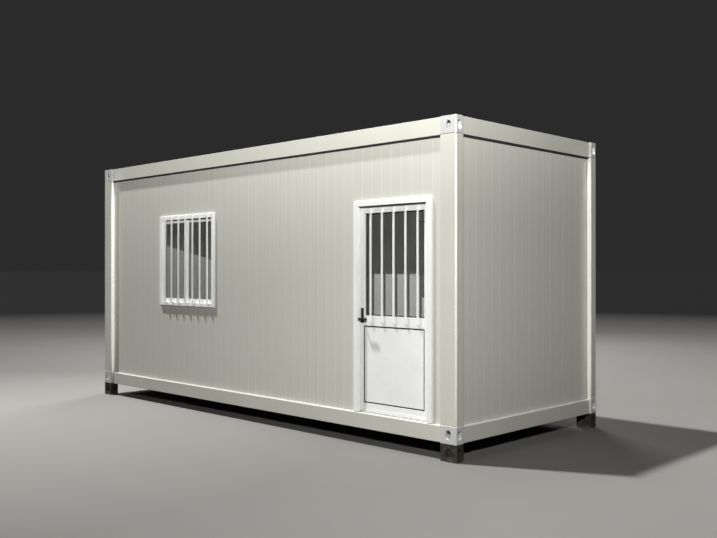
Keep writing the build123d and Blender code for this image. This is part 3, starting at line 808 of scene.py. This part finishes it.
def add_hinge_screws(name, hinge_node, side_x, body):
    """Two screws in each hinge plate, on its inner face."""
    mesh = bmesh.new()
    for low, high in solids(hinge_node):
        plate_x = low.x + screw_radius * 2 if side_x < 0 else high.x - screw_radius * 2
        for share in (0.2, 0.8):
            place = Vector((plate_x, hinge_plate_face(hinge_node), low.z + (high.z - low.z) * share))
            lathe(mesh, screw_profile, facing_back(place))
    add_piece(name, mesh, screw_finish, body)


def hinge_plate_face(hinge_node):
    """Y of the hinge plates' inner faces: the knuckles reach further in than the plates."""
    outer_x = {"door_hinge_leaf_halves": 0, "door_hinge_frame_halves": 1}[hinge_node]
    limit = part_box(hinge_node)[outer_x].x
    points = [vertex.co for vertex in nodes[hinge_node].data.vertices]
    return max(point.y for point in points if abs(point.x - limit) < weld_distance)


add_hinge_screws("door_hinge_leaf_screws", "door_hinge_leaf_halves", -1, "door")
add_hinge_screws("door_hinge_frame_screws", "door_hinge_frame_halves", 1, "cabin")

# Handle plates: fixing screws and the lock cylinder on each face
plate_mesh = bmesh.new()
lock_mesh = bmesh.new()
keyhole_mesh = bmesh.new()
lock_profile = [(0.0, 0.0), (lock_radius, 0.0), (lock_radius, lock_height * 0.7),
                (lock_radius * 0.9, lock_height), (0.0, lock_height)]
keyhole_outline = rounded_outline(lock_radius * 0.28, lock_radius * 1.15, lock_radius * 0.12)
plate_boxes = sorted(solids("door_handle_plates"), key=lambda box: box[0].y)
for (low, high), outwards in zip(plate_boxes, (-1, 1)):
    turn = facing_front if outwards < 0 else facing_back
    middle_x = (low.x + high.x) / 2
    face_y = low.y if outwards < 0 else high.y
    for height in (low.z + plate_screw_inset, high.z - plate_screw_inset):
        lathe(plate_mesh, screw_profile, turn(Vector((middle_x, face_y, height))))
    lock_place = Vector((middle_x, face_y, high.z - lock_drop))
    lathe(lock_mesh, lock_profile, turn(lock_place))
    keyhole_place = lock_place + Vector((0, outwards * lock_height, 0))
    prism(keyhole_mesh, keyhole_outline, screw_height * 0.1, turn(keyhole_place))
add_piece("door_plate_screws", plate_mesh, finishes["handle_black"], "door")
add_piece("door_lock_cylinders", lock_mesh, finishes["handle_black"], "door")
add_piece("door_keyholes", keyhole_mesh, finishes["handle_black"], "door")


# Window fittings: drain hoods on the frames' lower faces and latches on the inner meeting stiles
def add_drain_hoods(name, frame_node, outwards):
    """Three drain hoods along the foot of a window frame."""
    low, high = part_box(frame_node)
    turn = facing_front if outwards < 0 else facing_back
    face_y = low.y if outwards < 0 else high.y
    mesh = bmesh.new()
    for share in (0.2, 0.5, 0.8):
        place = Vector((low.x + (high.x - low.x) * share, face_y, low.z + drain_height * 1.6))
        outline = rounded_outline(drain_length, drain_height, drain_height * 0.3)
        prism(mesh, outline, drain_depth, turn(place))
    piece = add_piece(name, mesh, finishes["window_white"], "cabin")
    edge = piece.modifiers.new("edge", "BEVEL")
    edge.width = drain_depth * 0.3
    edge.segments = 2


add_drain_hoods("front_window_drain_hoods", "front_window_frame", -1)
add_drain_hoods("back_window_drain_hoods", "back_window_frame", 1)


def add_latch(name, sash_node, inwards):
    """Crescent latch on the inner sash's meeting stile: base, turning cam and thumb piece."""
    boxes = sorted(solids(sash_node), key=lambda box: box[0].y * inwards)
    low, high = boxes[-1]
    outer_low, outer_high = boxes[0]
    overlap_x = (max(low.x, outer_low.x) + min(high.x, outer_high.x)) / 2
    face_y = high.y if inwards > 0 else low.y
    place = Vector((overlap_x, face_y, (low.z + high.z) / 2))
    turn = facing_back if inwards > 0 else facing_front
    mesh = bmesh.new()
    base = rounded_outline(latch_width, latch_length, latch_width * 0.4)
    prism(mesh, base, latch_depth * 0.35, turn(place))
    cam_place = place + Vector((0, inwards * latch_depth * 0.35, 0))
    lathe(mesh, [(0.0, 0.0), (latch_width * 0.85, 0.0), (latch_width * 0.85, latch_depth * 0.4),
                 (latch_width * 0.6, latch_depth * 0.65), (0.0, latch_depth * 0.65)], turn(cam_place))
    thumb_place = turn(cam_place + Vector((0, inwards * latch_depth * 0.5, 0)))
    thumb_shift = Matrix.Translation((0, latch_length * 0.32, 0))
    prism(mesh, rounded_outline(latch_width * 0.55, latch_length * 0.6, latch_width * 0.2),
          latch_depth * 0.5, thumb_place @ thumb_shift)
    piece = add_piece(name, mesh, finishes["handle_black"], "cabin")
    edge = piece.modifiers.new("edge", "BEVEL")
    edge.width = latch_depth * 0.06
    edge.segments = 2
    edge.limit_method = "ANGLE"


add_latch("front_window_latch", "front_window_sashes", 1)
add_latch("back_window_latch", "back_window_sashes", -1)

# Roof screws with washers, along both edges of the sheet in the valleys between its ribs
roof_low, roof_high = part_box("roof_sheet")
roof_points = [vertex.co for vertex in nodes["roof_sheet"].data.vertices]
crest_lines = sorted({round(point.x, 4) for point in roof_points if roof_high.z - point.z < crest_depth})
rib_middles = [(first + second) / 2 for first, second in zip(crest_lines[::2], crest_lines[1::2])]
valleys = [(first + second) / 2 for first, second in zip(rib_middles, rib_middles[1:])]
rib_rise = max(point.z for point in roof_points if abs(point.x - roof_low.x) < weld_distance)
washer_profile = [(0.0, 0.0), (roof_washer_radius, 0.0), (roof_washer_radius * 0.92, roof_washer_height),
                  (0.0, roof_washer_height)]
head_profile = [(0.0, 0.0), (roof_screw_radius, 0.0), (roof_screw_radius, roof_screw_height * 0.8),
                (roof_screw_radius * 0.85, roof_screw_height), (0.0, roof_screw_height)]
washer_mesh = bmesh.new()
head_mesh = bmesh.new()
for valley in valleys:
    for edge_y in (roof_low.y + roof_screw_edge, roof_high.y - roof_screw_edge):
        washer_place = Matrix.Translation((valley, edge_y, rib_rise))
        head_place = Matrix.Translation((valley, edge_y, rib_rise + roof_washer_height))
        lathe(washer_mesh, washer_profile, washer_place)
        lathe(head_mesh, head_profile, head_place, roof_screw_sides)
add_piece("roof_screw_washers", washer_mesh, finishes["seal_rubber"], "cabin")
add_piece("roof_screws", head_mesh, screw_finish, "cabin")


# Stage: floor, lights, backdrop and camera
def add_floor():
    """Floor under the base blocks with a painted pool of light to the front left and painted shade that
    darkens it far away; what it casts back on the house is dimmer than what shows.
    """
    material, tree, shader, place = start_material("stage_floor")
    cloud = noise(tree, place, 0.6, 4.0)
    dark, light = scaled(stage_color, 0.97), scaled(stage_color, 1.03)
    color = mix_colors(tree, spread(tree, cloud, 0.0, 1.0), dark, light)
    # Painted pool of light: the floor lightens towards its middle.
    bright_reach = tree.nodes.new("ShaderNodeVectorMath")
    bright_reach.operation = "DISTANCE"
    bright_reach.inputs[1].default_value = painted_light_pool_place
    tree.links.new(place, bright_reach.inputs[0])
    bright = spread(tree, bright_reach.outputs["Value"], 1.0, 0.0, 0.0, painted_light_pool_radius)
    color = mix_colors(tree, bright, color, painted_light_pool_color)
    # Painted shade: the floor darkens with distance from the middle, between the near and far radius.
    reach = tree.nodes.new("ShaderNodeVectorMath")
    reach.operation = "LENGTH"
    tree.links.new(place, reach.inputs[0])
    far = spread(tree, reach.outputs["Value"], 0.0, 1.0, stage_near_radius, stage_far_radius)
    shown = mix_colors(tree, far, color, painted_far_shade_color)
    ray = tree.nodes.new("ShaderNodeLightPath").outputs["Is Camera Ray"]
    cast = spread(tree, ray, stage_cast_share, 1.0, 0.0, 1.0)
    dimmed = tree.nodes.new("ShaderNodeVectorMath")
    dimmed.operation = "SCALE"
    tree.links.new(shown, dimmed.inputs[0])
    tree.links.new(cast, dimmed.inputs["Scale"])
    tree.links.new(dimmed.outputs["Vector"], shader.inputs["Base Color"])
    shader.inputs["Roughness"].default_value = 0.9
    shader.inputs["Specular IOR Level"].default_value = 0.05
    mesh = bmesh.new()
    bmesh.ops.create_grid(mesh, x_segments=4, y_segments=4, size=stage_size)
    data = bpy.data.meshes.new("stage_floor")
    mesh.to_mesh(data)
    mesh.free()
    data.materials.append(material)
    floor = bpy.data.objects.new("stage_floor", data)
    floor.location.z = cad_low.z - stage_gap
    bpy.context.scene.collection.objects.link(floor)


def add_light(name, kind, place, direction):
    """Light at a place, pointing along a direction."""
    light = bpy.data.lights.new(name, kind)
    holder = bpy.data.objects.new(name, light)
    holder.location = place
    holder.rotation_mode = "QUATERNION"
    holder.rotation_quaternion = Vector(direction).to_track_quat("-Z", "Y")
    bpy.context.scene.collection.objects.link(holder)
    return light


def add_spot(name, turn, power, cone):
    """Soft-edged lamp over the camera, turned by an angle from +Y towards -X and an angle upwards."""
    across, upwards = (math.radians(angle) for angle in turn)
    level = math.cos(upwards)
    direction = (-math.sin(across) * level, math.cos(across) * level, math.sin(upwards))
    spot = add_light(name, "SPOT", head_light_place, direction)
    spot.energy = power
    spot.spot_size = math.radians(cone)
    spot.spot_blend = 1.0
    spot.shadow_soft_size = head_light_size


def add_edge_light(name, place, aim, power, cone=edge_light_cone, narrowing=edge_light_narrowing):
    """Narrow upright beam that slants down in front of the house and picks out the edge of a post."""
    beam = add_light(name, "SPOT", place, Vector(aim) - Vector(place))
    beam.energy = power
    beam.spot_size = math.radians(cone)
    beam.spot_blend = edge_light_blend
    beam.shadow_soft_size = edge_light_size
    bpy.data.objects[name].scale.x = narrowing


def add_lights():
    """Two lamps over the camera, a steep key, three thin beams on the posts and a soft light behind."""
    add_spot("head_light", head_light_turn, head_light_power, head_light_cone)
    add_spot("wash_light", wash_light_turn, wash_light_power, wash_light_cone)
    add_edge_light("front_edge_light", front_edge_place, front_edge_aim, front_edge_power)
    add_edge_light("end_edge_light", end_edge_place, end_edge_aim, end_edge_power)
    add_edge_light("corner_edge_light", corner_edge_place, corner_edge_aim, corner_edge_power,
                   corner_edge_cone, corner_edge_narrowing)
    key = add_light("key_light", "SUN", key_place, key_direction)
    key.energy = key_strength
    key.angle = math.radians(key_angle)
    back = add_light("back_light", "AREA", back_light_place, -Vector(back_light_place))
    back.energy = back_light_power
    back.size = back_light_size


def add_backdrop():
    """Plain grey beyond the floor; what it casts on the house is dimmer than what shows."""
    world = bpy.data.worlds.new("backdrop")
    bpy.context.scene.world = world
    world.use_nodes = True
    tree = world.node_tree
    ambient = tree.nodes["Background"]
    ambient.inputs["Color"].default_value = (*ambient_color, 1.0)
    shown = tree.nodes.new("ShaderNodeBackground")
    shown.inputs["Color"].default_value = (*backdrop_color, 1.0)
    ray = tree.nodes.new("ShaderNodeLightPath")
    mix = tree.nodes.new("ShaderNodeMixShader")
    tree.links.new(ray.outputs["Is Camera Ray"], mix.inputs["Fac"])
    tree.links.new(ambient.outputs["Background"], mix.inputs[1])
    tree.links.new(shown.outputs["Background"], mix.inputs[2])
    tree.links.new(mix.outputs["Shader"], tree.nodes["World Output"].inputs["Surface"])


def add_camera():
    """Camera at the photograph's place, height and lens."""
    camera = bpy.data.cameras.new("camera")
    camera.sensor_fit = "HORIZONTAL"
    camera.sensor_width = sensor_width
    camera.clip_end = view_range
    camera.lens = sensor_width * focal_pixels / image_width
    holder = bpy.data.objects.new("camera", camera)
    holder.location = camera_place
    holder.rotation_euler = [math.radians(angle) for angle in camera_turn]
    bpy.context.scene.collection.objects.link(holder)
    bpy.context.scene.camera = holder


add_floor()
add_lights()
add_backdrop()
add_camera()
bpy.context.scene.view_settings.view_transform = "Standard"
